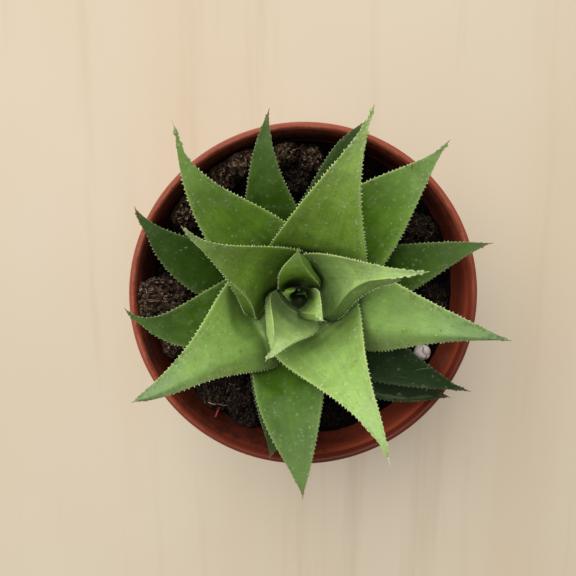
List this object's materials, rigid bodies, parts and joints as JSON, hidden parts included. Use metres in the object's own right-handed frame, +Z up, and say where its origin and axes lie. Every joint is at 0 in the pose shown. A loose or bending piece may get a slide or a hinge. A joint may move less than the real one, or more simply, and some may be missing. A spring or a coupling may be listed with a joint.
{
  "type": "potted succulent",
  "caption": "Small rosette of thick, pointed leaves with toothed margins, growing in soil in a round tapered nursery pot with a thick rim.",
  "frame": {"origin": "middle of the flat face under the pot, on the pot's axis", "axes": "+Z up along the pot's axis; -Y is the front, which the picture shows at the bottom; +X is to the right in the picture"},
  "size_m": [0.09, 0.091, 0.107],
  "materials": {
    "pot_plastic": "satin",
    "peat": "matte",
    "perlite": "matte",
    "stem_skin": "matte",
    "young_leaf": "satin",
    "grown_leaf": "satin",
    "old_leaf": "satin"
  },
  "bodies": {
    "root": {"pot": "pot_plastic", "soil": "peat", "perlite_grain": "perlite", "stem": "stem_skin", "leaf_01": "young_leaf", "leaf_02": "young_leaf", "leaf_03": "young_leaf", "leaf_04": "young_leaf", "leaf_05": "young_leaf", "leaf_06": "grown_leaf", "leaf_07": "grown_leaf", "leaf_08": "grown_leaf", "leaf_09": "grown_leaf", "leaf_10": "grown_leaf", "leaf_11": "grown_leaf", "leaf_12": "old_leaf", "leaf_13": "old_leaf", "leaf_14": "old_leaf", "leaf_15": "old_leaf", "leaf_16": "old_leaf", "leaf_17": "old_leaf", "leaf_18": "old_leaf", "leaf_19": "old_leaf", "leaf_20": "old_leaf", "leaf_21": "old_leaf", "leaf_22": "old_leaf"}
  },
  "joints": []
}
